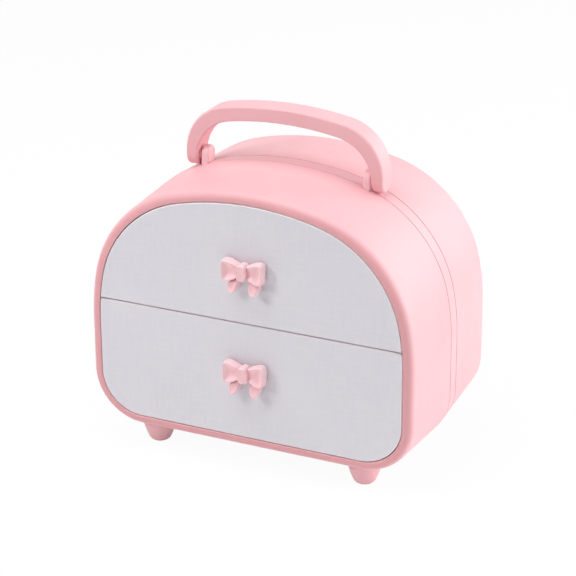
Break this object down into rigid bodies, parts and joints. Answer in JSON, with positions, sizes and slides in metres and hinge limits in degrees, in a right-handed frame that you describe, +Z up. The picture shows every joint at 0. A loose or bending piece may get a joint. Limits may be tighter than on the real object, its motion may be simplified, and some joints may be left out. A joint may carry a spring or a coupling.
{
  "type": "makeup storage case",
  "caption": "Arched tabletop makeup case on short tapered feet with two pull-out drawers, bow-shaped knobs and a hinged carrying handle on top.",
  "frame": {"origin": "on the surface the feet stand on, at the middle of the case's width and depth", "axes": "+Z up, +X to the right as seen from the drawer side, -Y out of the drawer fronts, +Y to the back"},
  "size_m": [0.204, 0.122, 0.2023],
  "materials": {
    "pink_plastic": "satin",
    "white_plastic": "satin",
    "screw_steel": "zinc plated"
  },
  "bodies": {
    "housing": {"front_shell": "pink_plastic", "rear_shell": "pink_plastic", "divider_shelf": "white_plastic", "left_handle_bracket": "pink_plastic", "right_handle_bracket": "pink_plastic", "front_left_foot": "pink_plastic", "front_right_foot": "pink_plastic", "rear_left_foot": "pink_plastic", "rear_right_foot": "pink_plastic", "shell_screws": "screw_steel", "foot_screws": "screw_steel"},
    "upper_drawer": {"upper_drawer_tray": "white_plastic", "upper_drawer_front": "white_plastic", "upper_bow_knob": "pink_plastic", "upper_knob_screw": "screw_steel"},
    "lower_drawer": {"lower_drawer_tray": "white_plastic", "lower_drawer_front": "white_plastic", "lower_bow_knob": "pink_plastic", "lower_knob_screw": "screw_steel"},
    "handle": {"handle": "pink_plastic"}
  },
  "joints": [
    {"name": "upper_drawer_slide", "type": "slide", "parent": "housing", "child": "upper_drawer", "axis": [0, -1, 0], "range_m": [0, 0.078]},
    {"name": "lower_drawer_slide", "type": "slide", "parent": "housing", "child": "lower_drawer", "axis": [0, -1, 0], "range_m": [0, 0.078]},
    {"name": "handle_hinge", "type": "hinge", "parent": "housing", "child": "handle", "pos_m": [0, 0.0012, 0.1674], "axis": [1, 0, 0], "range_deg": [-72, 72]}
  ]
}
